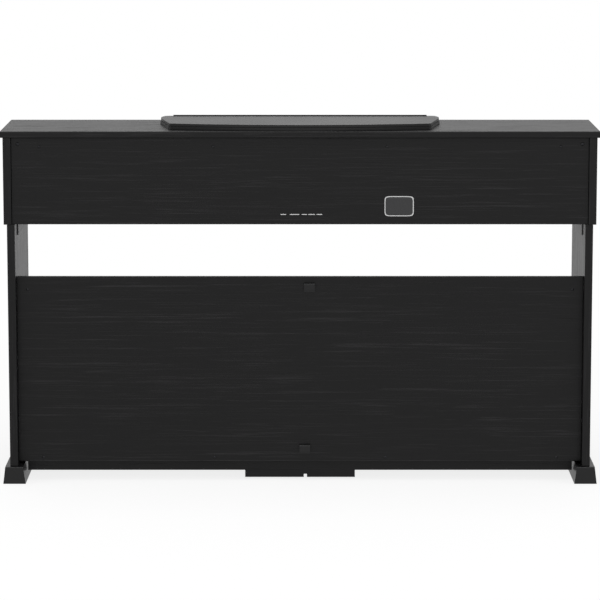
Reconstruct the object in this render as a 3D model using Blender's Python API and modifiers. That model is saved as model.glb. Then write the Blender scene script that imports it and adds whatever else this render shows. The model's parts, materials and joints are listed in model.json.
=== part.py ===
"""A console digital piano of 88 keys, as separate pieces at their real size.

Metres, +Z up. The player sits at -Y and looks along +Y, so +X is the treble side and the back
of the case faces +Y. The origin is on the floor, at the middle of the piano's outline.
"""

import math
from collections import namedtuple

import bmesh
import bpy
from mathutils import Matrix, Vector

# Driving dimensions of the cabinet
DEPTH = 0.455
TOP_WIDTH = 1.380
TOP_Z = 0.827
TOP_THICK = 0.015
TOP_FRONT = -0.0295
TOP_REAR = 0.2255
CASE_BOTTOM = 0.6105
SIDE_OUTER = 0.683
SIDE_THICK = 0.018
SIDE_REAR = 0.2225
BOARD_THICK = 0.015
BACK_REAR = 0.2165
BACK_THICK = 0.012
LEG_OUTER = 0.676
LEG_THICK = 0.018
LEG_Y = (-0.0795, 0.2205)
FOOT_CENTRE = 0.666
FOOT_WIDTH = 0.052
FOOT_TOP_WIDTH = 0.042
FOOT_HEIGHT = 0.0406
LOWER_PANEL_REAR = 0.1955
LOWER_PANEL_THICK = 0.012
LOWER_PANEL_Z = (0.0476, 0.4847)
BEAM_Y = (0.152, 0.170)
BEAM_Z = (0.020, 0.110)
GAP = 0.0003

# Driving dimensions of the keyboard
KEY_PITCH = 0.0236
KEY_GAP = 0.001
NATURAL_COUNT = 52
KEY_Z = (0.700, 0.720)
KEY_FRONT = -0.208
KEY_TAIL = 0.0235
KEY_PIVOT = (0.020, 0.6995)
SHARP_WIDTH = 0.0098
SHARP_SIDE_GAP = 0.0014
SHARP_FRONT = -0.158
SHARP_TOP = 0.7315
SHARP_BOTTOM = 0.702
NATURAL_STEPS = (0, 2, 4, 5, 7, 9, 11)
SHARP_STEPS = (1, 3, 6, 8, 10)
STEP_NAMES = ("c", "c_sharp", "d", "d_sharp", "e", "f", "f_sharp", "g", "g_sharp", "a", "a_sharp", "b")
MIDDLE_OCTAVE = 4
KEYS_X = NATURAL_COUNT * KEY_PITCH / 2

# Driving dimensions of the music rest, the control panel and the pedals
REST_AXIS = (0.0205, 0.8328)
REST_PLATE_Z = (0.8350, 0.8410)
REST_SHELL_Z = (0.8275, 0.8345)
REST_LIP_TOP = 0.8433
PROP_AXIS = (0.1105, 0.8305)
PROP_LENGTH = 0.0924
PANEL_TOP = (-0.0300, 0.8117)
PANEL_BOTTOM = (-0.0580, 0.7400)
PANEL_THICK_Y = 0.0100
SHAFT_AXIS = (0.125, 0.050)
SHAFT_RADIUS = 0.003
PEDAL_PITCH = 0.068
SPEAKER_X = 0.42
SPEAKER_Y = 0.125

Look = namedtuple("Look", "colour roughness metallic")
LAMINATE = Look((0.013, 0.012, 0.013), 0.45, 0.0)
PLASTIC = Look((0.010, 0.010, 0.011), 0.40, 0.0)
IVORY = Look((0.80, 0.78, 0.72), 0.28, 0.0)
EBONY = Look((0.008, 0.008, 0.009), 0.35, 0.0)
STEEL = Look((0.42, 0.42, 0.43), 0.32, 1.0)
BLACK_STEEL = Look((0.015, 0.015, 0.016), 0.38, 0.6)
BRASS = Look((0.70, 0.52, 0.24), 0.25, 1.0)
CIRCUIT = Look((0.02, 0.12, 0.05), 0.50, 0.0)
CHASSIS = Look((0.11, 0.11, 0.12), 0.60, 0.0)
CONE = Look((0.02, 0.02, 0.02), 0.80, 0.0)

for old in list(bpy.data.objects):
    bpy.data.objects.remove(old, do_unlink=True)

PIANO = bpy.data.collections.new("digital_piano")
HELPERS = bpy.data.collections.new("cutters")
bpy.context.scene.collection.children.link(PIANO)
bpy.context.scene.collection.children.link(HELPERS)

# Turns the plane of an outline so that its depth runs along X, Y or Z
TURNS = {
    "X": (math.pi / 2, 0.0, math.pi / 2),
    "Y": (math.pi / 2, 0.0, 0.0),
    "Z": (0.0, 0.0, 0.0),
}


# Shapes

def add_object(name, data):
    """A new object in the piano's collection."""
    made = bpy.data.objects.new(name, data)
    PIANO.objects.link(made)
    return made


def box(name, x, y, z):
    """A box between two limits on each axis, with its origin at its middle."""
    mesh = bpy.data.meshes.new(name)
    cube = bmesh.new()
    size = (x[1] - x[0], y[1] - y[0], z[1] - z[0])
    bmesh.ops.create_cube(cube, size=1.0, matrix=Matrix.Diagonal((*size, 1.0)))
    cube.to_mesh(mesh)
    cube.free()
    made = add_object(name, mesh)
    made.location = ((x[0] + x[1]) / 2, (y[0] + y[1]) / 2, (z[0] + z[1]) / 2)
    return made


def rod(name, axis, centre, radius, length, sides=24):
    """A cylinder whose axis is X, Y or Z, with its origin at its middle."""
    mesh = bpy.data.meshes.new(name)
    shape = bmesh.new()
    bmesh.ops.create_cone(
        shape, cap_ends=True, segments=sides, radius1=radius, radius2=radius, depth=length
    )
    shape.to_mesh(mesh)
    shape.free()
    mesh.shade_smooth()
    mesh.set_sharp_from_angle(angle=math.radians(40))
    made = add_object(name, mesh)
    made.location = centre
    made.rotation_euler = {"X": (0, math.pi / 2, 0), "Y": (math.pi / 2, 0, 0), "Z": (0, 0, 0)}[axis]
    return made


def rounded(corners, steps=5):
    """An outline whose corners (u, v, radius) are arcs where their radius isn't zero."""
    points = []
    for i, (u, v, radius) in enumerate(corners):
        here = Vector((u, v))
        if radius == 0:
            points.append(here)
            continue
        back = (Vector(corners[i - 1][:2]) - here).normalized()
        ahead = (Vector(corners[(i + 1) % len(corners)][:2]) - here).normalized()
        half = back.angle(ahead) / 2
        centre = here + (back + ahead).normalized() * radius / math.sin(half)
        start = here + back * radius / math.tan(half) - centre
        end = here + ahead * radius / math.tan(half) - centre
        sweep = start.angle_signed(end)
        for k in range(steps + 1):
            turn = Matrix.Rotation(-sweep * k / steps, 2)
            points.append(centre + turn @ start)
    return points


def slab(name, axis, outline, depth):
    """A flat outline given thickness along X, Y or Z, as a mesh.

    The outline is in (Y, Z) for X, (X, Z) for Y and (X, Y) for Z.
    """
    curve = bpy.data.curves.new(name, "CURVE")
    curve.dimensions = "2D"
    curve.fill_mode = "BOTH"
    curve.extrude = (depth[1] - depth[0]) / 2
    spline = curve.splines.new("POLY")
    spline.points.add(len(outline) - 1)
    for point, place in zip(spline.points, outline):
        point.co = (place[0], place[1], 0.0, 1.0)
    spline.use_cyclic_u = True
    drawn = add_object(name + "_outline", curve)
    drawn.rotation_euler = TURNS[axis]
    drawn.location["XYZ".index(axis)] = (depth[0] + depth[1]) / 2
    return as_mesh(drawn, name)


def as_mesh(drawn, name):
    """Replaces a curve object by a closed mesh object in the same place."""
    graph = bpy.context.evaluated_depsgraph_get()
    mesh = bpy.data.meshes.new_from_object(drawn.evaluated_get(graph))
    mesh.name = name
    shape = bmesh.new()
    shape.from_mesh(mesh)
    bmesh.ops.remove_doubles(shape, verts=shape.verts, dist=1e-6)
    bmesh.ops.recalc_face_normals(shape, faces=shape.faces)
    shape.to_mesh(mesh)
    shape.free()
    made = add_object(name, mesh)
    made.matrix_world = drawn.matrix_world.copy()
    bpy.data.objects.remove(drawn, do_unlink=True)
    return made


def turned(name, profile, place, steps=32):
    """A turned shape about Z: its profile (radius, z) runs down the outer side."""
    mesh = bpy.data.meshes.new(name)
    line = [(radius, 0.0, z) for radius, z in profile]
    mesh.from_pydata(line, [(i, i + 1) for i in range(len(line) - 1)], [])
    made = add_object(name, mesh)
    made.location = place
    screw = made.modifiers.new("turn", "SCREW")
    screw.steps = steps
    screw.render_steps = steps
    screw.use_merge_vertices = True
    screw.merge_threshold = 0.00005
    return made


# Joining, cutting and finishing

def help_only(piece):
    """Keeps a cutter or an added shape out of the piano itself."""
    PIANO.objects.unlink(piece)
    HELPERS.objects.link(piece)
    piece.hide_render = True
    piece.display_type = "WIRE"


def combine(target, operation, helpers):
    """Cuts, joins or intersects the target with each helper in turn."""
    for helper in helpers:
        help_only(helper)
        change = target.modifiers.new(helper.name, "BOOLEAN")
        change.operation = operation
        change.solver = "EXACT"
        change.object = helper
    return target


def cut(target, *helpers):
    """The target less each helper."""
    return combine(target, "DIFFERENCE", helpers)


def join(target, *helpers):
    """The target and each helper as one body."""
    return combine(target, "UNION", helpers)


def soften(piece, width, segments=1):
    """Rounds the piece's sharp edges."""
    bevel = piece.modifiers.new("soft_edges", "BEVEL")
    bevel.width = width
    bevel.segments = segments
    bevel.limit_method = "ANGLE"
    bevel.angle_limit = math.radians(50)
    return piece


def dress(piece, look):
    """Gives the piece a material of its own."""
    material = bpy.data.materials.new(piece.name)
    material.use_nodes = True
    shader = material.node_tree.nodes["Principled BSDF"]
    shader.inputs["Base Color"].default_value = (*look.colour, 1.0)
    shader.inputs["Roughness"].default_value = look.roughness
    shader.inputs["Metallic"].default_value = look.metallic
    material.diffuse_color = (*look.colour, 1.0)
    piece.data.materials.clear()
    piece.data.materials.append(material)
    return piece


def sides():
    """The two ends of the piano: a name's ending and the sign of X."""
    return (("left", -1), ("right", 1))


def span(sign, near, far):
    """Limits in X of something between two distances from the middle, on one side."""
    return tuple(sorted((sign * near, sign * far)))


# Case

EDGE = 0.0008
INNER_X = SIDE_OUTER - SIDE_THICK - GAP
BOTTOM_TOP = CASE_BOTTOM + BOARD_THICK
CASE_TOP = TOP_Z - TOP_THICK - GAP
SLIP_REAR = -0.2115
SLIP_TOP = 0.709
SLIP_FRONT = -0.2265


def make_top_board():
    board = box("top_board", (-TOP_WIDTH / 2, TOP_WIDTH / 2), (TOP_FRONT, TOP_REAR), (TOP_Z - TOP_THICK, TOP_Z))
    dress(soften(board, 0.0020, 3), LAMINATE)


def make_case_sides():
    """End boards: straight over the action, then sloping down beside the keys."""
    outline = rounded(
        (
            (SIDE_REAR, CASE_BOTTOM, 0),
            (SIDE_REAR, CASE_TOP, 0),
            (TOP_FRONT - 0.003, CASE_TOP, 0.012),
            (-0.0720, 0.7500, 0.030),
            (-DEPTH / 2, 0.7420, 0.014),
            (-DEPTH / 2, CASE_BOTTOM, 0.010),
        )
    )
    for end, sign in sides():
        board = slab("case_side_" + end, "X", outline, span(sign, SIDE_OUTER - SIDE_THICK, SIDE_OUTER))
        dress(soften(board, EDGE), LAMINATE)


def make_back_panel():
    panel = box(
        "case_back_panel",
        (-INNER_X, INNER_X),
        (BACK_REAR - BACK_THICK, BACK_REAR),
        (CASE_BOTTOM, CASE_TOP),
    )
    dress(soften(panel, EDGE), LAMINATE)


SPEAKER_HOLE = 0.050
SOCKETS_X = (-0.0620, 0.0560)
SOCKETS_Y = (0.1580, 0.1980)


def make_bottom_board():
    board = box(
        "case_bottom_board",
        (-INNER_X, INNER_X),
        (SLIP_REAR + GAP, BACK_REAR - BACK_THICK - GAP),
        (CASE_BOTTOM, BOTTOM_TOP),
    )
    middle = (CASE_BOTTOM + BOTTOM_TOP) / 2
    clear = 0.0005
    cut(
        board,
        *(
            rod("speaker_hole_" + end, "Z", (sign * SPEAKER_X, SPEAKER_Y, middle), SPEAKER_HOLE, 0.04, 40)
            for end, sign in sides()
        ),
        box(
            "socket_hole",
            (SOCKETS_X[0] - clear, SOCKETS_X[1] + clear),
            (SOCKETS_Y[0] - clear, SOCKETS_Y[1] + clear),
            (CASE_BOTTOM - 0.01, BOTTOM_TOP + 0.01),
        ),
    )
    dress(board, LAMINATE)


def make_key_slip():
    slip = box("key_slip", (-INNER_X, INNER_X), (SLIP_FRONT, SLIP_REAR), (CASE_BOTTOM, SLIP_TOP))
    dress(soften(slip, 0.002, 2), LAMINATE)


def make_key_blocks():
    """The blocks that close the ends of the keyboard."""
    outline = rounded(
        (
            (-0.060, BOTTOM_TOP + GAP, 0),
            (-0.060, 0.7380, 0.002),
            (-0.2080, 0.7380, 0.008),
            (-0.2080, BOTTOM_TOP + GAP, 0),
        )
    )
    for end, sign in sides():
        block = slab("key_block_" + end, "X", outline, span(sign, KEYS_X + KEY_GAP, INNER_X))
        dress(soften(block, EDGE), LAMINATE)


# Control panel, its knob and its buttons

PANEL_FACE = (0.0, (PANEL_TOP[0] + PANEL_BOTTOM[0]) / 2, (PANEL_TOP[1] + PANEL_BOTTOM[1]) / 2)
PANEL_TILT = math.atan2(PANEL_TOP[1] - PANEL_BOTTOM[1], PANEL_TOP[0] - PANEL_BOTTOM[0])
KNOB_X = -0.560
KNOB_RADIUS = 0.0095
KNOB_SHAFT = 0.003
BUTTON_SIZE = (0.0140, 0.0060)
BUTTON_PROUD = 0.0020
BUTTON_DEEP = 0.0060
BUTTONS = (("power_button", -0.610), ("function_button", -0.520), ("metronome_button", -0.495))
PANEL_CLEAR = 0.0004


def panel_frame():
    """An empty on the panel's face: its Z points out of the face and its Y up the slope."""
    frame = bpy.data.objects.new("control_panel_frame", None)
    PIANO.objects.link(frame)
    frame.location = PANEL_FACE
    frame.rotation_euler = (PANEL_TILT, 0.0, 0.0)
    return frame


def on_panel(piece, frame, x):
    """Stands a piece made about the origin on the panel's face."""
    piece.parent = frame
    piece.location.x += x
    return piece


def make_control_panel(frame):
    outline = (
        PANEL_TOP,
        PANEL_BOTTOM,
        (PANEL_BOTTOM[0] + PANEL_THICK_Y, PANEL_BOTTOM[1]),
        (PANEL_TOP[0] + PANEL_THICK_Y, PANEL_TOP[1]),
    )
    panel = slab("control_panel", "X", outline, (-INNER_X, INNER_X))
    half = [side / 2 + PANEL_CLEAR for side in BUTTON_SIZE]
    holes = [
        on_panel(box(name + "_hole", (-half[0], half[0]), (-half[1], half[1]), (-0.02, 0.02)), frame, x)
        for name, x in BUTTONS
    ]
    shaft_hole = rod("knob_hole", "Z", (0, 0, 0), KNOB_SHAFT + PANEL_CLEAR, 0.04)
    dress(cut(panel, *holes, on_panel(shaft_hole, frame, KNOB_X)), PLASTIC)


def make_buttons(frame):
    """Keys for power and functions, each sliding square to the panel."""
    half = [side / 2 for side in BUTTON_SIZE]
    for name, x in BUTTONS:
        button = box(name, (-half[0], half[0]), (-half[1], half[1]), (-BUTTON_DEEP, BUTTON_PROUD))
        dress(soften(on_panel(button, frame, x), 0.0006, 2), PLASTIC)


def make_volume_knob(frame):
    """A knob with a waist and a shaft that turns in the panel, with a pointer groove."""
    profile = (
        (0.0, 0.0105),
        (KNOB_RADIUS - 0.0016, 0.0105),
        (KNOB_RADIUS - 0.0006, 0.0095),
        (KNOB_RADIUS, 0.0020),
        (KNOB_RADIUS, 0.0006),
        (KNOB_SHAFT, 0.0006),
        (KNOB_SHAFT, -0.0080),
        (0.0, -0.0080),
    )
    knob = turned("volume_knob", profile, (0, 0, 0))
    groove = box("pointer_groove", (-0.0006, 0.0006), (0.0035, 0.0120), (0.0098, 0.0120))
    on_panel(groove, frame, KNOB_X)
    dress(cut(on_panel(knob, frame, KNOB_X), groove), PLASTIC)


# Keys

STRIP_FRONT = 0.008
SHARP_STRIP_FRONT = -0.010
SHARP_STRIP_Z = (0.7218, 0.7240)
SHARP_TAIL_TOP = 0.7225


def octave_left(octave):
    """X of the left edge of the octave's C."""
    first_c = 2 + 7 * (octave - 1)
    return (first_c - NATURAL_COUNT / 2) * KEY_PITCH


def sharp_x(octave, step):
    """X of a sharp's middle: tails are evenly spaced from C to E, and from F to B."""
    if step < 5:
        return octave_left(octave) + (step + 0.5) * KEY_PITCH * 3 / 5
    return octave_left(octave) + KEY_PITCH * 3 + (step - 4.5) * KEY_PITCH * 4 / 7


def natural_edges(index):
    """Left and right edges in X of a natural's head and of its tail; index 0 is the lowest key."""
    octave = (index - 2) // 7 + 1
    step = NATURAL_STEPS[(index - 2) % 7]
    left = (index - NATURAL_COUNT / 2) * KEY_PITCH + KEY_GAP / 2
    right = left + KEY_PITCH - KEY_GAP
    tail_left = left
    tail_right = right
    reach = SHARP_WIDTH / 2 + SHARP_SIDE_GAP
    if step - 1 in SHARP_STEPS and index > 0:
        tail_left = sharp_x(octave, step - 1) + reach
    if step + 1 in SHARP_STEPS and index < NATURAL_COUNT - 1:
        tail_right = sharp_x(octave, step + 1) - reach
    return left, right, tail_left, tail_right


def naturals_outline(first, last):
    """Plan of a run of naturals; more than one are joined by a strip behind the sharps."""
    shoulder = SHARP_FRONT - SHARP_SIDE_GAP
    rear_left = natural_edges(first)[2]
    rear_right = natural_edges(last)[3]
    points = [(rear_left, KEY_TAIL), (rear_right, KEY_TAIL)]
    for index in range(last, first - 1, -1):
        left, right, tail_left, tail_right = natural_edges(index)
        if index != last:
            points.append((tail_right, STRIP_FRONT))
        if tail_right != right:
            points += [(tail_right, shoulder), (right, shoulder)]
        points += [(right, KEY_FRONT), (left, KEY_FRONT)]
        if tail_left != left:
            points += [(left, shoulder), (tail_left, shoulder)]
        if index != first:
            points.append((tail_left, STRIP_FRONT))
    return points


def make_naturals(name, first, last):
    dress(slab(name, "Z", naturals_outline(first, last), KEY_Z), IVORY)


def sharp_profile():
    """Side view of a sharp: sloping front, level top, a lower tail and a foot at the pivot."""
    return (
        (SHARP_FRONT, SHARP_BOTTOM),
        (SHARP_FRONT + 0.0010, 0.7220),
        (SHARP_FRONT + 0.0055, SHARP_TOP - 0.0012),
        (SHARP_FRONT + 0.0080, SHARP_TOP),
        (-0.040, SHARP_TOP),
        (-0.036, SHARP_TAIL_TOP),
        (KEY_TAIL, SHARP_TAIL_TOP),
        (KEY_TAIL, KEY_Z[0]),
        (0.016, KEY_Z[0]),
        (0.014, SHARP_BOTTOM),
    )


def make_sharps(name, keys):
    """One sharp, or several joined by a strip that passes over the tails of the naturals."""
    places = [sharp_x(octave, step) for octave, step in keys]
    if len(places) == 1:
        dress(slab(name, "X", sharp_profile(), sharp_width(places[0])), EBONY)
        return
    ends = (sharp_width(places[0])[0], sharp_width(places[-1])[1])
    strip = box(name, ends, (SHARP_STRIP_FRONT, KEY_TAIL - 0.0010), SHARP_STRIP_Z)
    teeth = [slab(f"{name}_{i}", "X", tooth_profile(), sharp_width(x)) for i, x in enumerate(places)]
    dress(join(strip, *teeth), EBONY)


def tooth_profile():
    """A sharp's side view whose tail ends ahead of the naturals' own strip."""
    end = STRIP_FRONT - 0.0020
    return sharp_profile()[:6] + ((end, SHARP_TAIL_TOP), (end, SHARP_BOTTOM))


def sharp_width(x):
    return (x - SHARP_WIDTH / 2, x + SHARP_WIDTH / 2)


def make_keys():
    """The middle octave key by key, and the keys on either side of it in four sets."""
    first_c = 2 + 7 * (MIDDLE_OCTAVE - 1)
    make_naturals("naturals_bass", 0, first_c - 1)
    make_naturals("naturals_treble", first_c + 7, NATURAL_COUNT - 1)
    bass = [(0, 10)] + [(octave, step) for octave in range(1, MIDDLE_OCTAVE) for step in SHARP_STEPS]
    treble = [(octave, step) for octave in range(MIDDLE_OCTAVE + 1, 8) for step in SHARP_STEPS]
    make_sharps("sharps_bass", bass)
    make_sharps("sharps_treble", treble)
    for i, step in enumerate(NATURAL_STEPS):
        make_naturals(f"key_{STEP_NAMES[step]}{MIDDLE_OCTAVE}", first_c + i, first_c + i)
    for step in SHARP_STEPS:
        make_sharps(f"key_{STEP_NAMES[step]}{MIDDLE_OCTAVE}", [(MIDDLE_OCTAVE, step)])


# Inside the case

CHASSIS_BASE = BOTTOM_TOP + GAP
CHASSIS_WALL = 0.0025
SHELF_TOP = 0.675


def make_keybed_chassis():
    """One moulded section: stop rail, contact shelf, pivot bar, and a rear wall with a lip."""
    floor = CHASSIS_BASE + CHASSIS_WALL
    pivot_y, pivot_z = KEY_PIVOT
    bar = 0.0013
    outline = (
        (-0.1980, CHASSIS_BASE, 0),
        (-0.1980, 0.6880, 0.001),
        (-0.1900, 0.6880, 0.001),
        (-0.1900, floor, 0),
        (-0.1360, floor, 0),
        (-0.1360, SHELF_TOP, 0),
        (-0.1030, SHELF_TOP, 0),
        (-0.1030, SHELF_TOP - 0.002, 0),
        (-0.1340, SHELF_TOP - 0.002, 0),
        (-0.1340, floor, 0),
        (pivot_y - bar, floor, 0),
        (pivot_y - bar, pivot_z, bar * 0.98),
        (pivot_y + bar, pivot_z, bar * 0.98),
        (pivot_y + bar, floor, 0),
        (0.0340, floor, 0),
        (0.0340, 0.7250, 0),
        (0.0140, 0.7250, 0),
        (0.0140, 0.7275, 0),
        (0.0365, 0.7275, 0.001),
        (0.0365, CHASSIS_BASE, 0),
    )
    chassis = slab("keybed_chassis", "X", rounded(outline, 3), (-KEYS_X, KEYS_X))
    dress(chassis, CHASSIS)


def make_contact_board():
    """The circuit strip under the keys, with its rubber domes as one strip."""
    y = (-0.1330, -0.1045)
    board = box("key_contact_board", (-0.605, 0.605), y, (SHELF_TOP + GAP, SHELF_TOP + 0.0019))
    rubber = box("rubber_strip", (-0.600, 0.600), (-0.1230, -0.1130), (SHELF_TOP + 0.0015, 0.6880))
    dress(join(board, rubber), CIRCUIT)


def make_main_board():
    """The main circuit board on four feet, with its larger components."""
    x = (-0.10, 0.12)
    y = (0.055, 0.145)
    z = (0.6330, 0.6346)
    foot = 0.0030
    board = box("main_board", x, y, z)
    inset = 0.006
    height = z[0] - CHASSIS_BASE + 0.001
    corners = [(px, py) for px in (x[0] + inset, x[1] - inset) for py in (y[0] + inset, y[1] - inset)]
    feet = [
        rod(f"board_foot_{i}", "Z", (px, py, CHASSIS_BASE + height / 2), foot, height, 12)
        for i, (px, py) in enumerate(corners)
    ]
    sizes = (
        ("processor", -0.01, 0.10, 0.014, 0.0030),
        ("heat_sink", 0.07, 0.09, 0.016, 0.0180),
        ("connector", -0.07, 0.12, 0.012, 0.0090),
    )
    parts = [
        box(name, (px - half, px + half), (py - half / 2, py + half / 2), (z[1] - 0.0005, z[1] + height))
        for name, px, py, half, height in sizes
    ]
    dress(join(board, *feet, *parts), CIRCUIT)


def make_speakers():
    """Drivers that face down through the bottom board, and the grilles below them."""
    base = BOTTOM_TOP + GAP
    profile = (
        (0.0, base + 0.046),
        (0.036, base + 0.046),
        (0.036, base + 0.026),
        (0.030, base + 0.025),
        (0.050, base + 0.0045),
        (0.060, base + 0.0030),
        (0.060, base),
        (0.048, base),
        (0.0470, base + 0.0010),
        (0.0160, base + 0.0150),
        (0.0080, base + 0.0120),
        (0.0, base + 0.0110),
    )
    grille_z = (CASE_BOTTOM - GAP - 0.0026, CASE_BOTTOM - GAP)
    slot_pitch = 0.009
    for end, sign in sides():
        dress(turned("speaker_" + end, profile, (sign * SPEAKER_X, SPEAKER_Y, 0)), CONE)
        centre = (sign * SPEAKER_X, SPEAKER_Y, sum(grille_z) / 2)
        grille = rod("speaker_grille_" + end, "Z", centre, 0.058, grille_z[1] - grille_z[0], 40)
        slots = []
        for k in range(-5, 6):
            half = math.sqrt(0.048**2 - (k * slot_pitch) ** 2) - 0.002
            y = SPEAKER_Y + k * slot_pitch
            x = (centre[0] - half, centre[0] + half)
            slots.append(box(f"slot_{end}_{k}", x, (y - 0.002, y + 0.002), (0.60, 0.62)))
        dress(cut(grille, *slots), BLACK_STEEL)


# Sockets under the case

JACK_RADIUS = 0.0033
HEADPHONE_X = (-0.570, -0.545)
HEADPHONE_Z = 0.594


def make_jack_panel():
    """A block of sockets that face down, let into the bottom board, with a flange above it."""
    flange = box("jack_panel", (-0.070, 0.064), (0.150, 0.2035), (BOTTOM_TOP + GAP, BOTTOM_TOP + 0.0028))
    block = box("socket_block", SOCKETS_X, SOCKETS_Y, (CASE_BOTTOM, BOTTOM_TOP + 0.001))
    y = (SOCKETS_Y[0] + SOCKETS_Y[1]) / 2
    low = CASE_BOTTOM - 0.005
    high = CASE_BOTTOM + 0.0135
    middle = (low + high) / 2
    holes = [rod(f"jack_{x}", "Z", (x, y, middle), JACK_RADIUS, high - low) for x in (0.0128, -0.0100, -0.0446)]
    for x, half_x, half_y in ((0.0385, 0.0060, 0.0040), (-0.0267, 0.0042, 0.0040)):
        holes.append(box(f"port_{x}", (x - half_x, x + half_x), (y - half_y, y + half_y), (low, high)))
    dress(cut(join(flange, block), *holes), PLASTIC)


def make_headphone_box():
    """A small housing under the front edge with two headphone sockets facing the player."""
    x = (-0.590, -0.525)
    y = (-0.200, -0.155)
    housing = box("headphone_box", x, y, (0.580, CASE_BOTTOM - GAP))
    soften(housing, 0.0025, 2)
    holes = [
        rod(f"headphone_{place}", "Y", (place, y[0] + 0.009, HEADPHONE_Z), JACK_RADIUS, 0.030)
        for place in HEADPHONE_X
    ]
    dress(cut(housing, *holes), PLASTIC)


# Stand

def make_legs():
    for end, sign in sides():
        leg = box(
            "leg_" + end,
            span(sign, LEG_OUTER - LEG_THICK, LEG_OUTER),
            LEG_Y,
            (FOOT_HEIGHT + GAP, CASE_BOTTOM - GAP),
        )
        dress(soften(leg, EDGE), LAMINATE)


def make_feet():
    """Foot blocks: full height under the leg, then down to a low toe; narrower at the top."""
    outline = rounded(
        (
            (DEPTH / 2, 0.0, 0.002),
            (DEPTH / 2, FOOT_HEIGHT, 0.003),
            (-0.0900, FOOT_HEIGHT, 0.030),
            (-0.1500, 0.0210, 0.006),
            (-0.1500, 0.0, 0.002),
        )
    )
    for end, sign in sides():
        foot = slab("foot_" + end, "X", outline, (-FOOT_WIDTH / 2, FOOT_WIDTH / 2))
        foot.location.x = sign * FOOT_CENTRE
        taper = 1 - FOOT_TOP_WIDTH / FOOT_WIDTH
        for vertex in foot.data.vertices:
            vertex.co.z *= 1 - taper * vertex.co.y / FOOT_HEIGHT
        dress(foot, PLASTIC)


def make_lower_panel():
    inner = LEG_OUTER - LEG_THICK - GAP
    panel = box(
        "lower_back_panel",
        (-inner, inner),
        (LOWER_PANEL_REAR - LOWER_PANEL_THICK, LOWER_PANEL_REAR),
        LOWER_PANEL_Z,
    )
    dress(soften(panel, EDGE), LAMINATE)


def make_crossbeam():
    """The beam between the legs; its lower corners stop at the feet."""
    inner = LEG_OUTER - LEG_THICK - GAP
    at_foot = FOOT_CENTRE - FOOT_WIDTH / 2 - 0.0006
    step = FOOT_HEIGHT + GAP
    low, high = BEAM_Z
    half = [(at_foot, low), (at_foot, step), (inner, step), (inner, high)]
    outline = half + [(-x, z) for x, z in reversed(half)]
    beam = slab("pedal_crossbeam", "Y", outline, BEAM_Y)
    dress(beam, LAMINATE)


def make_leg_brackets():
    """Steel angles that hold the case on the legs."""
    face = LEG_OUTER - LEG_THICK - GAP
    top = CASE_BOTTOM - GAP
    thick = 0.0025
    reach = 0.032
    for end, sign in sides():
        outline = (
            (sign * face, top),
            (sign * (face - reach), top),
            (sign * (face - reach), top - thick),
            (sign * (face - thick), top - thick),
            (sign * (face - thick), top - reach),
            (sign * face, top - reach),
        )
        bracket = slab("leg_bracket_" + end, "Y", outline, (0.069, 0.167))
        dress(bracket, BLACK_STEEL)


def make_cable_clips():
    """Hooks for the cables on the back of the lower panel, open at the bottom."""
    rear = LOWER_PANEL_REAR + GAP
    plate = 0.0015
    channel = 0.0055
    lip = 0.0018
    for name, x, top, width in (("upper", -0.0220, 0.4700, 0.0250), ("lower", -0.0112, 0.0871, 0.0250)):
        bottom = top - 0.0215
        outline = rounded(
            (
                (rear, bottom, 0),
                (rear, top, 0),
                (rear + plate + channel + lip, top, 0.003),
                (rear + plate + channel + lip, top - 0.0150, 0),
                (rear + plate + channel, top - 0.0150, 0),
                (rear + plate + channel, top - 0.0020, 0.0012),
                (rear + plate, top - 0.0020, 0),
                (rear + plate, bottom, 0),
            )
        )
        clip = slab("cable_clip_" + name, "X", outline, (x - width / 2, x + width / 2))
        dress(clip, PLASTIC)


# Music rest

REST_FRONT = 0.0150
REST_END = 0.3285
REST_CORNER = (0.3028, 0.1850)
REST_ARCH = 0.0330
RAIL_END = 0.290


def rest_outline(inset):
    """Plan of the rest: straight front, splayed ends and an arched rear edge."""
    corner_x, corner_y = REST_CORNER
    half = [
        (0.3200 - inset, REST_FRONT, 0.008),
        (REST_END - inset, 0.0400, 0.030),
        (REST_END - inset, 0.0620, 0.030),
        (corner_x - inset, corner_y - inset, 0.008),
    ]
    steps = 8
    for k in range(steps - 1, -1, -1):
        share = k / steps
        half.append((corner_x * share, corner_y - inset + REST_ARCH * (1 - share**2), 0))
    mirrored = [(-x, y, radius) for x, y, radius in reversed(half[:-1])]
    return rounded(half + mirrored)


def make_rest_plate():
    """The plate that carries the music, with a lip at its front edge and two hinge lugs."""
    plate = slab("music_rest_plate", "Z", rest_outline(0.0015), REST_PLATE_Z)
    soften(plate, 0.0012)
    lip = box("rest_lip", (-0.300, 0.300), (REST_FRONT + 0.0005, REST_FRONT + 0.0035), (0.8400, REST_LIP_TOP))
    axis_y, axis_z = REST_AXIS
    lug = 0.0034
    outline = rounded(
        (
            (axis_y - lug, REST_PLATE_Z[0] + 0.0010, 0),
            (axis_y - lug, axis_z - lug, lug * 0.99),
            (axis_y + lug, axis_z - lug, lug * 0.99),
            (axis_y + lug, REST_PLATE_Z[0] + 0.0010, 0),
        )
    )
    lugs = [
        slab("rest_lug_" + end, "X", outline, span(sign, RAIL_END + 0.0015, RAIL_END + 0.0095))
        for end, sign in sides()
    ]
    bores = [
        rod("lug_bore_" + end, "X", (sign * (RAIL_END + 0.0055), axis_y, axis_z), 0.0018, 0.012, 16)
        for end, sign in sides()
    ]
    dress(cut(join(plate, lip, *lugs), *bores), PLASTIC)


POCKET_Y = (0.1010, 0.2095)
POCKET_X = 0.0120
PROP_PIN = 0.0012


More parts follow.
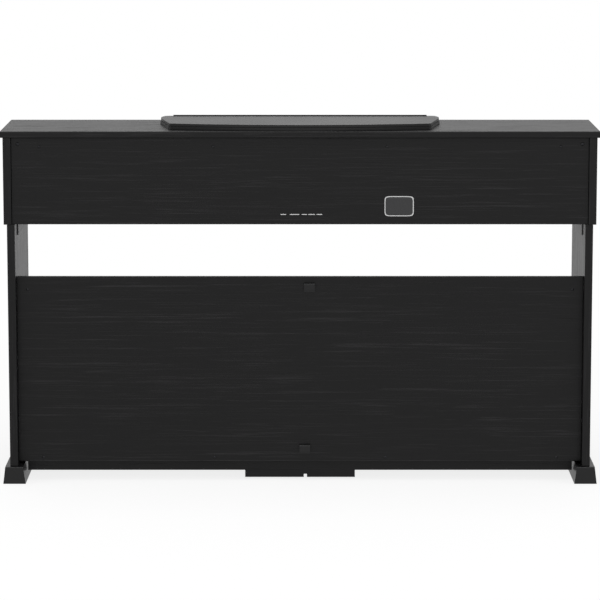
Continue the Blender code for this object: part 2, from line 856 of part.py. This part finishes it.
def make_rest_shell():
    """The shell under the plate, with the pocket that the prop folds into."""
    shell = slab("music_rest_shell", "Z", rest_outline(0.0), REST_SHELL_Z)
    hinge_side = REST_AXIS[0] + 0.006
    over = 0.004
    low = REST_SHELL_Z[0] - over
    high = REST_SHELL_Z[1] + over
    front = box("shell_front", (-0.40, 0.40), (-0.02, hinge_side), (low, high))
    pocket = box("prop_pocket", (-POCKET_X, POCKET_X), POCKET_Y, (low, high))
    pin_hole = rod("prop_pin_hole", "X", (0, *PROP_AXIS), PROP_PIN + GAP, 2 * POCKET_X + 0.008, 12)
    dress(cut(shell, front, pocket, pin_hole), PLASTIC)


def make_rest_prop():
    """The prop: a flat leg with a pin at one end, which stands on the top board when raised."""
    half = 0.0020
    y, z = PROP_AXIS
    outline = rounded(
        (
            (y - half, z - half, half * 0.98),
            (y - half, z + half, half * 0.98),
            (y + PROP_LENGTH + half, z + half, half * 0.98),
            (y + PROP_LENGTH + half, z - half, half * 0.98),
        ),
        4,
    )
    prop = slab("rest_prop", "X", outline, (-0.011, 0.011))
    pin = rod("prop_pin", "X", (0, *PROP_AXIS), PROP_PIN, 2 * POCKET_X + 0.006, 12)
    dress(join(prop, pin), STEEL)


def make_hinge_rail():
    """The rail on the top board, with a pin at each end on the rest's axis."""
    axis_y, axis_z = REST_AXIS
    rail = box(
        "rest_hinge_rail",
        (-RAIL_END, RAIL_END),
        (axis_y - 0.0004, axis_y + 0.0050),
        (TOP_Z + GAP, axis_z - 0.0007),
    )
    overlap = 0.02
    reach = 0.0095
    middle = RAIL_END + (reach - overlap) / 2
    pins = [
        rod("rest_pin_" + end, "X", (sign * middle, axis_y, axis_z), 0.0015, overlap + reach, 16)
        for end, sign in sides()
    ]
    dress(join(rail, *pins), BLACK_STEEL)


# Pedals

BASE_X = 0.129
BASE_Y = (0.020, 0.170)
BASE_Z = (0.003, 0.0197)
NOTCH_X = -0.0126
NOTCH = 0.0075
ADJUSTER_Y = 0.032
ADJUSTER_RADIUS = 0.016
COVER_X = 0.105
COVER_Y = (0.0205, 0.1515)
COVER_TOP = 0.1095
COVER_WALL = 0.003
PEDALS = (("left", -1), ("middle", 0), ("right", 1))


def make_base_board():
    """The board under the pedals: a cable groove at the rear and a recess for the adjuster."""
    board = box("pedal_base_board", (-BASE_X, BASE_X), BASE_Y, BASE_Z)
    groove = box(
        "cable_groove",
        (NOTCH_X - NOTCH / 2, NOTCH_X + NOTCH / 2),
        (BASE_Y[1] - 0.060, BASE_Y[1] + 0.010),
        (0.0, BASE_Z[0] + NOTCH),
    )
    recess = rod("adjuster_recess", "Z", (0, ADJUSTER_Y, 0.0030), ADJUSTER_RADIUS + 0.0015, 0.020, 32)
    stud_hole = rod("stud_hole", "Z", (0, ADJUSTER_Y, 0.015), 0.0045, 0.020)
    dress(cut(board, groove, recess, stud_hole), LAMINATE)


def make_adjuster():
    """A dial with a stud, wound down until it meets the floor."""
    profile = (
        (0.0, 0.0125),
        (0.0040, 0.0125),
        (0.0040, 0.0060),
        (ADJUSTER_RADIUS - 0.0008, 0.0060),
        (ADJUSTER_RADIUS, 0.0052),
        (ADJUSTER_RADIUS, 0.0008),
        (ADJUSTER_RADIUS - 0.0008, 0.0),
        (0.0, 0.0),
    )
    dress(turned("box_adjuster", profile, (0, ADJUSTER_Y, 0)), PLASTIC)


def make_pedal_cover():
    """A moulded cover, open below and behind, with three slots and two bearings."""
    low = BASE_Z[1] + GAP

    def section(inset):
        return rounded(
            (
                (COVER_Y[1], low, 0),
                (COVER_Y[1], COVER_TOP - inset, 0),
                (0.0700, COVER_TOP - inset, 0.025),
                (COVER_Y[0] + inset, 0.0800, 0.020),
                (COVER_Y[0] + inset, low, 0),
            )
        )

    cover = slab("pedal_box_cover", "X", section(0.0), (-COVER_X, COVER_X))
    inside = COVER_X - COVER_WALL
    hollow = slab("cover_hollow", "X", section(COVER_WALL), (-inside, inside))
    for vertex in hollow.data.vertices:
        vertex.co.x += 0.004 if vertex.co.x > COVER_Y[1] - 0.001 else 0.0
        vertex.co.y -= 0.004 if vertex.co.y < low + 0.001 else 0.0
    bearing = rod("cover_bearings", "X", (0, *SHAFT_AXIS), SHAFT_RADIUS + GAP, 2 * COVER_X + 0.02)
    slots = [
        box(
            "cover_slot_" + name,
            (k * PEDAL_PITCH - 0.0095, k * PEDAL_PITCH + 0.0095),
            (COVER_Y[0] - 0.01, COVER_Y[0] + 0.02),
            (low - 0.01, 0.0600),
        )
        for name, k in PEDALS
    ]
    dress(cut(cover, hollow, bearing, *slots), PLASTIC)


def make_pedal_shaft():
    dress(rod("pedal_shaft", "X", (0, *SHAFT_AXIS), SHAFT_RADIUS, 2 * COVER_X - 0.001), STEEL)


PEDAL_THICK = 0.006
PEDAL_TIP = -0.090
PEDAL_DROP = 0.013


def pedal_drop(y):
    """How far the lever has curved down at this Y, from its straight part to its pad."""
    share = min(max((0.015 - y) / 0.060, 0.0), 1.0)
    return PEDAL_DROP * share * share * (3 - 2 * share)


def pedal_side():
    """Side view of a lever: straight in the box, then an S-bend down to the pad."""
    steps = 12
    along = [SHAFT_AXIS[0]] + [0.020 + (PEDAL_TIP - 0.020) * k / steps for k in range(steps + 1)]
    middle = [(y, SHAFT_AXIS[1] - pedal_drop(y)) for y in along]
    top = [(y, z + PEDAL_THICK / 2) for y, z in middle]
    bottom = [(y, z - PEDAL_THICK / 2) for y, z in reversed(middle)]
    return top + bottom


def pedal_plan(x):
    """Plan of a lever: a narrow neck and a rounded pad."""
    neck = 0.0070
    pad = 0.0130
    rear = SHAFT_AXIS[0] + 0.002
    return rounded(
        (
            (x + neck, rear, 0),
            (x + neck, -0.0200, 0.020),
            (x + pad, -0.0480, 0.020),
            (x + pad, PEDAL_TIP + 0.001, 0.0125),
            (x - pad, PEDAL_TIP + 0.001, 0.0125),
            (x - pad, -0.0480, 0.020),
            (x - neck, -0.0200, 0.020),
            (x - neck, rear, 0),
        )
    )


def make_pedals():
    """Levers that turn on the shaft, each with a hub."""
    hub = 0.0070
    for name, k in PEDALS:
        x = k * PEDAL_PITCH
        lever = slab("pedal_" + name, "X", pedal_side(), (x - 0.02, x + 0.02))
        plan = slab("pedal_plan_" + name, "Z", pedal_plan(x), (0.0, 0.1))
        combine(lever, "INTERSECT", [plan])
        barrel = rod("pedal_hub_" + name, "X", (x, *SHAFT_AXIS), hub, 0.024, 20)
        bore = rod("pedal_bore_" + name, "X", (x, *SHAFT_AXIS), SHAFT_RADIUS + GAP, 0.03)
        dress(cut(join(lever, barrel), bore), BRASS)


def make_spring_plate():
    """One plate of spring steel with a finger that lifts each pedal."""
    thick = 0.0012
    low = BASE_Z[1] + GAP
    tip = SHAFT_AXIS[1] - PEDAL_THICK / 2 - 0.0005
    outline = (
        (0.1500, low),
        (0.1500, low + thick),
        (0.1340, low + thick),
        (0.0760, tip),
        (0.0680, tip),
        (0.0680, tip - thick),
        (0.0755, tip - thick),
        (0.1335, low),
    )
    plate = slab("pedal_spring_plate", "X", outline, (-0.080, 0.080))
    finger = 0.0080
    gaps = [
        box(
            f"finger_gap_{k}",
            (k * PEDAL_PITCH + finger, (k + 1) * PEDAL_PITCH - finger),
            (0.050, 0.1300),
            (0.0, 0.1),
        )
        for k in (-2, -1, 0, 1)
    ]
    dress(cut(plate, *gaps), STEEL)


def main():
    make_top_board()
    make_case_sides()
    make_back_panel()
    make_bottom_board()
    make_key_slip()
    make_key_blocks()
    frame = panel_frame()
    make_control_panel(frame)
    make_buttons(frame)
    make_volume_knob(frame)
    make_keys()
    make_keybed_chassis()
    make_contact_board()
    make_main_board()
    make_speakers()
    make_jack_panel()
    make_headphone_box()
    make_legs()
    make_feet()
    make_lower_panel()
    make_crossbeam()
    make_leg_brackets()
    make_cable_clips()
    make_rest_plate()
    make_rest_shell()
    make_rest_prop()
    make_hinge_rail()
    make_base_board()
    make_adjuster()
    make_pedal_cover()
    make_pedal_shaft()
    make_pedals()
    make_spring_plate()


main()
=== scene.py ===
"""Looks of a console digital piano, seen from behind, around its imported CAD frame."""

import json
import logging
import math
from dataclasses import dataclass, field
from enum import Enum
from typing import Any, Union

import bmesh
import bpy
import numpy as np
from mathutils import Euler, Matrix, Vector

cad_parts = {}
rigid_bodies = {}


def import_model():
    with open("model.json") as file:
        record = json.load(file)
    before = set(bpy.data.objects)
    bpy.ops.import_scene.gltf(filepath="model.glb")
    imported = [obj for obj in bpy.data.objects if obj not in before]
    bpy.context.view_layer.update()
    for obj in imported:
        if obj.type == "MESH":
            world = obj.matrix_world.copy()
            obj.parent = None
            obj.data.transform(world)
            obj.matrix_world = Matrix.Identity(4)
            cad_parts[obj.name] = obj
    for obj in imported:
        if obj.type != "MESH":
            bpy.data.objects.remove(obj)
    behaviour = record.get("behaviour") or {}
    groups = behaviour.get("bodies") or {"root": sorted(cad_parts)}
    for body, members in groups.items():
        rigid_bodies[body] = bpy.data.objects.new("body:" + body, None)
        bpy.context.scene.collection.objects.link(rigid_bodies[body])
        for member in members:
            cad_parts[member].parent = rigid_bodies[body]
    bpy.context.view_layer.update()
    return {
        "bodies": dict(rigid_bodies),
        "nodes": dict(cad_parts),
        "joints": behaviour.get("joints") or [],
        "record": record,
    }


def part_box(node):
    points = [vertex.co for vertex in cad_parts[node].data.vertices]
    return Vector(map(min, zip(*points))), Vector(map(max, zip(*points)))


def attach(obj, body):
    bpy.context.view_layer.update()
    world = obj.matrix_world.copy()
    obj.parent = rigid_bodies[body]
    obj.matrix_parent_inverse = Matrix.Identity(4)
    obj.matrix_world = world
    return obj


Colour = tuple[float, float, float]
Number = Union[float, "Signal"]
LOG = logging.getLogger("piano")


# Shader sockets and nodes

class Signal:
    """One output socket of a shader tree, on which arithmetic adds Math nodes."""

    def __init__(self, tree: "Tree", socket: bpy.types.NodeSocket) -> None:
        """Keeps the tree and the socket."""
        self.tree = tree
        self.socket = socket

    def _math(self, operation: str, first: Number, second: Number) -> "Signal":
        """Adds one Math node.

        Args:
            operation: the name of the Math node's operation.
            first: the first value or signal.
            second: the second value or signal.

        Returns:
            The signal of the result.
        """
        return self.tree.add("ShaderNodeMath", {"operation": operation}, {0: first, 1: second})

    def __add__(self, other: Number) -> "Signal":
        """self + other."""
        return self._math("ADD", self, other)

    __radd__ = __add__

    def __mul__(self, other: Number) -> "Signal":
        """self * other."""
        return self._math("MULTIPLY", self, other)

    __rmul__ = __mul__

    def __sub__(self, other: Number) -> "Signal":
        """self - other."""
        return self._math("SUBTRACT", self, other)

    def __rsub__(self, other: Number) -> "Signal":
        """other - self."""
        return self._math("SUBTRACT", other, self)

    def ramp(self, low: float, high: float) -> "Signal":
        """Goes smoothly from 0 at low to 1 at high.

        Args:
            low: the value that gives 0.
            high: the value that gives 1.

        Returns:
            The signal of the smoothed value.
        """
        settings = {"interpolation_type": "SMOOTHSTEP"}
        inputs = {"Value": self, "From Min": low, "From Max": high}
        return self.tree.add("ShaderNodeMapRange", settings, inputs)


class Tree:
    """The shader tree of one material."""

    def __init__(self, name: str) -> None:
        """Makes the material and clears its tree."""
        self.material = bpy.data.materials.new(name)
        self.material.use_nodes = True
        self.nodes = self.material.node_tree.nodes
        self.nodes.clear()

    def add(self, kind: str, settings: dict[str, Any], inputs: dict[Any, Any], output: Any = 0) -> Signal:
        """Adds any node.

        Args:
            kind: the node's type.
            settings: the node's own properties, set first.
            inputs: the value or signal of each input socket, by name or place.
            output: the name or place of the output that is wanted.

        Returns:
            The signal of that output.
        """
        node = self.nodes.new(kind)
        for name, value in settings.items():
            setattr(node, name, value)
        for name, value in inputs.items():
            if isinstance(value, Signal):
                self.material.node_tree.links.new(value.socket, node.inputs[name])
            else:
                node.inputs[name].default_value = value
        return Signal(self, node.outputs[output])

    def place(self) -> Signal:
        """The point on the object in its own metres."""
        return self.add("ShaderNodeTexCoord", {}, {}, "Object")

    def stretched(self, scale: Colour) -> Signal:
        """The point on the object, scaled differently along each axis."""
        return self.add("ShaderNodeMapping", {}, {"Vector": self.place(), "Scale": scale})

    def noise(self, scale: Colour, detail: float = 3.0, rough: float = 0.5) -> Signal:
        """Noise whose grains per metre along each axis are given by scale."""
        inputs = {"Vector": self.stretched(scale), "Scale": 1.0, "Detail": detail, "Roughness": rough}
        return self.add("ShaderNodeTexNoise", {}, inputs, "Fac")

    def mixed(self, share: Number, first: Any, second: Any) -> Signal:
        """A colour between first and second.

        Args:
            share: 0 gives first and 1 gives second.
            first: a colour or a colour signal.
            second: a colour or a colour signal.

        Returns:
            The mixed colour.
        """
        inputs = {0: share}
        for place, colour in ((6, first), (7, second)):
            inputs[place] = colour if isinstance(colour, Signal) else (*colour, 1.0)
        return self.add("ShaderNodeMix", {"data_type": "RGBA"}, inputs, 2)

    def bump(self, height: Signal, distance: float, strength: float = 1.0) -> Signal:
        """A surface normal from a height, where 1 stands for a distance in metres."""
        inputs = {"Height": height, "Distance": distance, "Strength": strength}
        return self.add("ShaderNodeBump", {}, inputs)

    def finish(self, inputs: dict[str, Any]) -> bpy.types.Material:
        """Closes the tree with a Principled shader.

        Args:
            inputs: the value or signal of each of its sockets; a colour may have three parts.

        Returns:
            The finished material.
        """
        full = {
            name: (*value, 1.0) if isinstance(value, tuple) and len(value) == 3 else value
            for name, value in inputs.items()
        }
        shader = self.add("ShaderNodeBsdfPrincipled", {}, full)
        self.add_output(shader)
        return self.material

    def add_output(self, shader: Signal) -> None:
        """Links a shader to the material's output."""
        output = self.nodes.new("ShaderNodeOutputMaterial")
        self.material.node_tree.links.new(shader.socket, output.inputs["Surface"])


# Finishes

class Grain(Enum):
    """The way the wood grain of a board runs, as grains per metre along X, Y and Z."""

    ALONG_X = (7.0, 330.0, 330.0)
    ALONG_Z = (330.0, 330.0, 7.0)


@dataclass(frozen=True)
class Laminate:
    """Near-black embossed wood-grain foil.

    The streaks' noise passes the pore band to become pores, and the clouds' noise, which is as much
    coarser as cloud_share says, passes its own band to choose where they show.
    """

    grain: Grain
    dark: Colour = (0.0020, 0.0019, 0.0021)
    light: Colour = (0.0140, 0.0134, 0.0142)
    roughness: float = 0.40
    pore_roughness: float = 0.14
    gloss: float = 0.22
    cloud_share: float = 0.30
    pore_band: tuple[float, float] = (0.52, 0.66)
    cloud_band: tuple[float, float] = (0.35, 0.70)
    pore_depth: float = 0.00025

    def material(self) -> bpy.types.Material:
        """Streaks stretched along the grain colour the foil, and their pores are pressed into it."""
        tree = Tree("laminate_" + self.grain.name.lower())
        streaks = tree.noise(self.grain.value, 5.0, 0.62)
        coarse = tuple(value * self.cloud_share for value in self.grain.value)
        clouds = tree.noise(coarse, 2.0)
        pores = streaks.ramp(*self.pore_band)
        colour = tree.mixed(pores * clouds.ramp(*self.cloud_band), self.dark, self.light)
        return tree.finish({
            "Base Color": colour,
            "Roughness": self.roughness + self.pore_roughness * pores,
            "Specular IOR Level": self.gloss,
            "Normal": tree.bump(1.0 - pores, self.pore_depth, 0.8),
        })


@dataclass(frozen=True)
class Moulded:
    """Moulded plastic with a fine spark-eroded grain."""

    name: str
    colour: Colour
    roughness: float
    grains: float = 2200.0
    depth: float = 0.00003
    gloss: float = 0.5

    def material(self) -> bpy.types.Material:
        """Fine noise gives the grain; wide noise varies the roughness and paints sheen as lighter patches."""
        tree = Tree(self.name)
        grain = tree.noise((self.grains,) * 3, 2.0)
        sheen = tree.noise((9.0,) * 3, 2.0)
        # painted sheen: a colour a quarter lighter, mixed in where the wide noise is high
        painted_sheen_colour = tuple(value * 1.25 for value in self.colour)
        return tree.finish({
            "Base Color": tree.mixed(sheen.ramp(0.3, 0.7) * 0.6, self.colour, painted_sheen_colour),
            "Roughness": self.roughness + 0.08 * sheen,
            "Specular IOR Level": self.gloss,
            "Normal": tree.bump(grain, self.depth, 0.5),
        })


@dataclass(frozen=True)
class Metal:
    """Brushed, coated or polished metal."""

    name: str
    colour: Colour
    roughness: float
    brushing: Colour
    metallic: float = 1.0

    def material(self) -> bpy.types.Material:
        """Noise stretched along the brushing varies the gloss and lifts fine lines."""
        tree = Tree(self.name)
        lines = tree.noise(self.brushing, 3.0)
        return tree.finish({
            "Base Color": self.colour,
            "Metallic": self.metallic,
            "Roughness": self.roughness + 0.12 * lines,
            "Normal": tree.bump(lines, 0.00001, 0.3),
        })


IVORY = Moulded("natural_key_plastic", (0.82, 0.80, 0.74), 0.20, 900.0, 0.00001)
EBONY = Moulded("sharp_key_plastic", (0.012, 0.012, 0.013), 0.34, 1500.0, 0.00002)
CASE_PLASTIC = Moulded("case_plastic", (0.003, 0.003, 0.0033), 0.36, gloss=0.3)
CONTROL_PLASTIC = Moulded("control_plastic", (0.022, 0.022, 0.024), 0.36)
CHASSIS_PLASTIC = Moulded("chassis_plastic", (0.11, 0.11, 0.12), 0.55)
CONE_PAPER = Moulded("cone_paper", (0.018, 0.018, 0.018), 0.80, 700.0, 0.0001)
SOLDER_MASK = Moulded("solder_mask", (0.010, 0.10, 0.035), 0.35, 400.0, 0.00002)
BRIGHT_STEEL = Metal("bright_steel", (0.60, 0.60, 0.61), 0.26, (20.0, 900.0, 900.0))
COATED_STEEL = Metal("coated_steel", (0.014, 0.014, 0.015), 0.42, (900.0, 900.0, 900.0), 0.0)
PEDAL_BRASS = Metal("pedal_brass", (0.80, 0.61, 0.28), 0.16, (900.0, 30.0, 900.0))


@dataclass
class Dressing:
    """Gives each CAD node the finish of its record slot."""

    frame: dict[str, Any]
    upright: tuple[str, ...] = ("leg_left", "leg_right", "case_side_left", "case_side_right")
    made: dict[str, bpy.types.Material] = field(default_factory=dict)

    def finishes(self) -> dict[str, Any]:
        """The finish that goes with each slot of the record."""
        return {
            "laminate": Laminate(Grain.ALONG_X),
            "foot_plastic": CASE_PLASTIC,
            "black_plastic": CASE_PLASTIC,
            "control_plastic": CONTROL_PLASTIC,
            "natural_key": IVORY,
            "sharp_key": EBONY,
            "chassis_plastic": CHASSIS_PLASTIC,
            "circuit_board": SOLDER_MASK,
            "speaker_cone": CONE_PAPER,
            "black_steel": COATED_STEEL,
            "steel": BRIGHT_STEEL,
            "pedal_brass": PEDAL_BRASS,
        }

    def build(self) -> None:
        """Puts a material on every node."""
        finishes = self.finishes()
        upright = Laminate(Grain.ALONG_Z).material()
        for entry in self.frame["record"]["subparts"]:
            slot = entry["material_slot"]
            if slot not in self.made:
                self.made[slot] = finishes[slot].material()
            piece = self.frame["nodes"][entry["node"]]
            piece.data.materials.clear()
            piece.data.materials.append(upright if entry["node"] in self.upright else self.made[slot])
            LOG.info("dressed %s", entry["node"])


@dataclass
class Studio:
    """White floor and background, soft lamps and the camera behind the piano."""

    camera_place: Colour = (0.0, 6.3296, 1.5118)
    camera_pitch: float = 7.438
    camera_lens: float = 160.71
    camera_shift: float = -0.20
    sensor: float = 36.0
    floor_reach: float = 30.0
    light_strength: float = 0.5
    near_white: float = 0.82
    all_white: tuple[float, float] = (0.8, 2.2)

    def build(self) -> None:
        """Makes the camera, lamps, world and floor."""
        self.camera()
        self.lamps()
        self.world()
        self.floor()

    def camera(self) -> None:
        """Looks along -Y and down by the pitch, as the photograph's camera does."""
        data = bpy.data.cameras.new("rear_camera")
        data.lens = self.camera_lens
        data.sensor_width = self.sensor
        data.shift_y = self.camera_shift
        data.clip_end = 100.0
        camera = bpy.data.objects.new("rear_camera", data)
        camera.location = self.camera_place
        camera.rotation_euler = (math.radians(90.0 - self.camera_pitch), 0.0, math.pi)
        bpy.context.scene.collection.objects.link(camera)
        bpy.context.scene.camera = camera

    def lamp(self, name: str, place: Colour, turn: Colour, size: float, watts: float) -> None:
        """Adds one square soft lamp.

        Args:
            name: the lamp's name.
            place: where it stands, in metres.
            turn: its rotation in degrees about X, Y and Z.
            size: the side of its square, in metres.
            watts: its power.
        """
        data = bpy.data.lights.new(name, "AREA")
        data.size = size
        data.energy = watts
        lamp = bpy.data.objects.new(name, data)
        lamp.location = place
        lamp.rotation_euler = Euler([math.radians(value) for value in turn])
        bpy.context.scene.collection.objects.link(lamp)

    def lamps(self) -> None:
        """One lamp above, one high between the camera and the piano, and one on each side."""
        self.lamp("lamp_above", (0.0, 0.6, 3.6), (0.0, 0.0, 0.0), 3.0, 70.0)
        self.lamp("lamp_rear", (0.0, 5.0, 2.6), (-68.0, 0.0, 0.0), 3.0, 22.0)
        self.lamp("lamp_left", (3.6, 1.2, 1.8), (0.0, 78.0, 0.0), 2.0, 40.0)
        self.lamp("lamp_right", (-3.6, 1.2, 1.8), (0.0, -78.0, 0.0), 2.0, 40.0)

    def world(self) -> None:
        """White where the camera, gloss or glass looks at it, and dimmer as a light."""
        world = bpy.data.worlds.new("studio")
        world.use_nodes = True
        nodes = world.node_tree.nodes
        links = world.node_tree.links
        background = nodes["Background"]
        path = nodes.new("ShaderNodeLightPath")
        seen = nodes.new("ShaderNodeMath")
        seen.operation = "MAXIMUM"
        strength = nodes.new("ShaderNodeMapRange")
        strength.inputs["To Min"].default_value = self.light_strength
        strength.inputs["To Max"].default_value = 1.0
        background.inputs["Color"].default_value = (1.0, 1.0, 1.0, 1.0)
        links.new(path.outputs["Is Camera Ray"], seen.inputs[0])
        links.new(path.outputs["Is Transmission Ray"], seen.inputs[1])
        gloss = nodes.new("ShaderNodeMath")
        gloss.operation = "MAXIMUM"
        links.new(seen.outputs[0], gloss.inputs[0])
        links.new(path.outputs["Is Glossy Ray"], gloss.inputs[1])
        links.new(gloss.outputs[0], strength.inputs["Value"])
        links.new(strength.outputs[0], background.inputs["Strength"])
        bpy.context.scene.world = world
        bpy.context.scene.view_settings.view_transform = "Standard"

    def floor_paint(self) -> bpy.types.Material:
        """White to the eye and in gloss, with part of the object's shadow near it.

        The white share grows from near_white to 1 over the distances of all_white from the origin.
        """
        tree = Tree("floor_paint")
        path = tree.nodes.new("ShaderNodeLightPath")
        rays = [Signal(tree, path.outputs[f"Is {kind} Ray"]) for kind in ("Camera", "Glossy", "Transmission")]
        seen = rays[0] + rays[1] + rays[2]
        away = tree.add("ShaderNodeVectorMath", {"operation": "LENGTH"}, {0: tree.place()}, "Value")
        share = seen * (self.near_white + (1.0 - self.near_white) * away.ramp(*self.all_white))
        paint = tree.add("ShaderNodeBsdfDiffuse", {}, {"Color": (0.9, 0.9, 0.9, 1.0)})
        white = tree.add("ShaderNodeEmission", {}, {"Color": (1.0, 1.0, 1.0, 1.0), "Strength": 1.0})
        tree.add_output(tree.add("ShaderNodeMixShader", {}, {0: share, 1: paint, 2: white}))
        return tree.material

    def floor(self) -> None:
        """A wide white sheet at z = 0."""
        reach = self.floor_reach
        corners = [(-reach, -reach, 0.0), (reach, -reach, 0.0), (reach, reach, 0.0), (-reach, reach, 0.0)]
        mesh = bpy.data.meshes.new("floor")
        mesh.from_pydata(corners, [], [(0, 1, 2, 3)])
        mesh.materials.append(self.floor_paint())
        floor = bpy.data.objects.new("floor", mesh)
        bpy.context.scene.collection.objects.link(floor)


@dataclass
class RearFittings:
    """Screws, the bare rating plate and the socket marks on the rear of the piano."""

    upper_screw_x: tuple[float, ...] = (-0.6, -0.2, 0.2, 0.6)
    upper_screw_z: float = 0.791
    corner_screw: tuple[float, float] = (0.649, 0.797)
    lower_screw_z: float = 0.0565
    side_screw: tuple[float, float] = (0.6326, 0.4544)
    small_radius: float = 0.0032
    large_radius: float = 0.0042
    plate_centre: tuple[float, float] = (-0.2285, 0.6528)
    plate_size: tuple[float, float] = (0.067, 0.0467)
    border_width: float = 0.0008
    mark_z: float = 0.6336
    mark_height: float = 0.0018
    mark_proud: float = 0.0002
    border_proud: float = 0.0003
    plate_proud: float = 0.0005
    cross_width: float = 0.14
    cross_reach: float = 0.6
    cross_depth: float = 0.28
    head_height: float = 0.55
    corner_power: int = 8
    marks: tuple[tuple[float, float], ...] = (
        (0.0385, 0.013), (0.0128, 0.022), (-0.0100, 0.012), (-0.0267, 0.016), (-0.0446, 0.013),
    )

    def build(self) -> None:
        """Makes every fitting on the face of the board that carries it."""
        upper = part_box("case_back_panel")[1].y
        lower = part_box("lower_back_panel")[1].y
        steel = Metal("black_screw_steel", (0.030, 0.030, 0.032), 0.30, (900.0,) * 3).material()
        for x in self.upper_screw_x:
            self.screw("upper_screw", x, upper, self.upper_screw_z, self.small_radius, steel)
            self.screw("lower_screw", x, lower, self.lower_screw_z, self.small_radius, steel)
        for sign in (-1, 1):
            x, z = self.corner_screw
            self.screw("corner_screw", sign * x, upper, z, self.large_radius, steel)
            x, z = self.side_screw
            self.screw("side_screw", sign * x, lower, z, self.small_radius, steel)
        plate = Moulded("plate_foil", (0.012, 0.012, 0.013), 0.30).material()
        border = Moulded("pale_print", (0.55, 0.55, 0.55), 0.45).material()
        self.tile("rating_plate_border", self.plate_centre, self.plate_size, upper, self.border_proud, border)
        inner = tuple(value - 2 * self.border_width for value in self.plate_size)
        self.tile("rating_plate", self.plate_centre, inner, upper, self.plate_proud, plate)
        for place, (x, width) in enumerate(self.marks):
            centre, size = (x, self.mark_z), (width, self.mark_height)
            self.tile(f"socket_mark_{place}", centre, size, upper, self.mark_proud, border)

    def screw(self, name: str, x: float, face: float, z: float, radius: float, metal: Any) -> None:
        """A domed screw head with a cross recess, standing on a face that looks along +Y.

        On a grid of rings and angles the height is the dome 1 - r^4 of the head's height, less the
        recess where a point lies in either bar of the cross.

        Args:
            name: what kind of screw it is.
            x: its centre along X.
            face: the face it stands on, along Y.
            z: its centre along Z.
            radius: the head's radius.
            metal: its material.
        """
        rings, turns = 16, 48
        share, angle = np.meshgrid(
            np.linspace(0.0, 1.0, rings), np.arange(turns) * 2 * math.pi / turns, indexing="ij"
        )
        across, along = share * np.cos(angle), share * np.sin(angle)
        in_bar = (np.abs(across) < self.cross_width) | (np.abs(along) < self.cross_width)
        in_cross = in_bar & (share < self.cross_reach)
        height = radius * (self.head_height * (1 - share ** 4) - self.cross_depth * in_cross)
        points = np.stack([x + radius * across, face + height, z + radius * along], axis=-1)
        place = f"{name}_{round(1000 * x):+d}".replace("+", "r").replace("-", "l")
        self.surface(place, points.reshape(-1, 3), rings, turns, metal)

    def tile(self, name: str, centre: Any, size: Any, face: float, proud: float, skin: Any) -> None:
        """A thin plate with rounded corners on a face that looks along +Y.

        Its outline is the superellipse |x|^power + |z|^power = 1 scaled to its size, and its height
        falls to nothing over the outermost ring.

        Args:
            name: the piece's name.
            centre: its centre along X and Z.
            size: its width and height.
            face: the face it lies on, along Y.
            proud: how far it stands out.
            skin: its material.
        """
        rings, turns = 6, 64
        share, angle = np.meshgrid(
            np.linspace(0.0, 1.0, rings), np.arange(turns) * 2 * math.pi / turns, indexing="ij"
        )
        across, along = np.cos(angle), np.sin(angle)
        power = self.corner_power
        reach = (np.abs(across) ** power + np.abs(along) ** power) ** (-1 / power)
        height = proud * np.where(share < 1.0, 1.0, 0.0)
        points = np.stack([
            centre[0] + size[0] / 2 * share * reach * across,
            face + height,
            centre[1] + size[1] / 2 * share * reach * along,
        ], axis=-1)
        self.surface(name, points.reshape(-1, 3), rings, turns, skin)

    def surface(self, name: str, points: Any, rings: int, turns: int, skin: Any) -> None:
        """Makes a closed-round grid of rings a piece of the cabinet.

        Args:
            name: the piece's name.
            points: its points, ring by ring.
            rings: how many rings there are.
            turns: how many points a ring has.
            skin: its material.
        """
        ring, turn = np.meshgrid(np.arange(rings - 1), np.arange(turns), indexing="ij")
        after = (turn + 1) % turns
        corners = [ring * turns + turn, ring * turns + after]
        corners += [(ring + 1) * turns + after, (ring + 1) * turns + turn]
        faces = np.stack(corners, axis=-1).reshape(-1, 4)
        mesh = bpy.data.meshes.new(name)
        mesh.from_pydata(points.tolist(), [], faces.tolist())
        mesh.materials.append(skin)
        sheet = bmesh.new()
        sheet.from_mesh(mesh)
        bmesh.ops.remove_doubles(sheet, verts=sheet.verts, dist=1e-6)
        bmesh.ops.recalc_face_normals(sheet, faces=sheet.faces)
        if sum(one.normal.y * one.calc_area() for one in sheet.faces) < 0:
            bmesh.ops.reverse_faces(sheet, faces=sheet.faces)
        sheet.to_mesh(mesh)
        sheet.free()
        piece = bpy.data.objects.new(name, mesh)
        bpy.context.scene.collection.objects.link(piece)
        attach(piece, "cabinet")
        LOG.info("made %s", name)


def main() -> None:
    """Loads the frame, dresses it and sets up the studio."""
    logging.basicConfig(level=logging.INFO, format="%(message)s")
    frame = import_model()
    Dressing(frame).build()
    RearFittings().build()
    Studio().build()


if __name__ == "__main__":
    main()
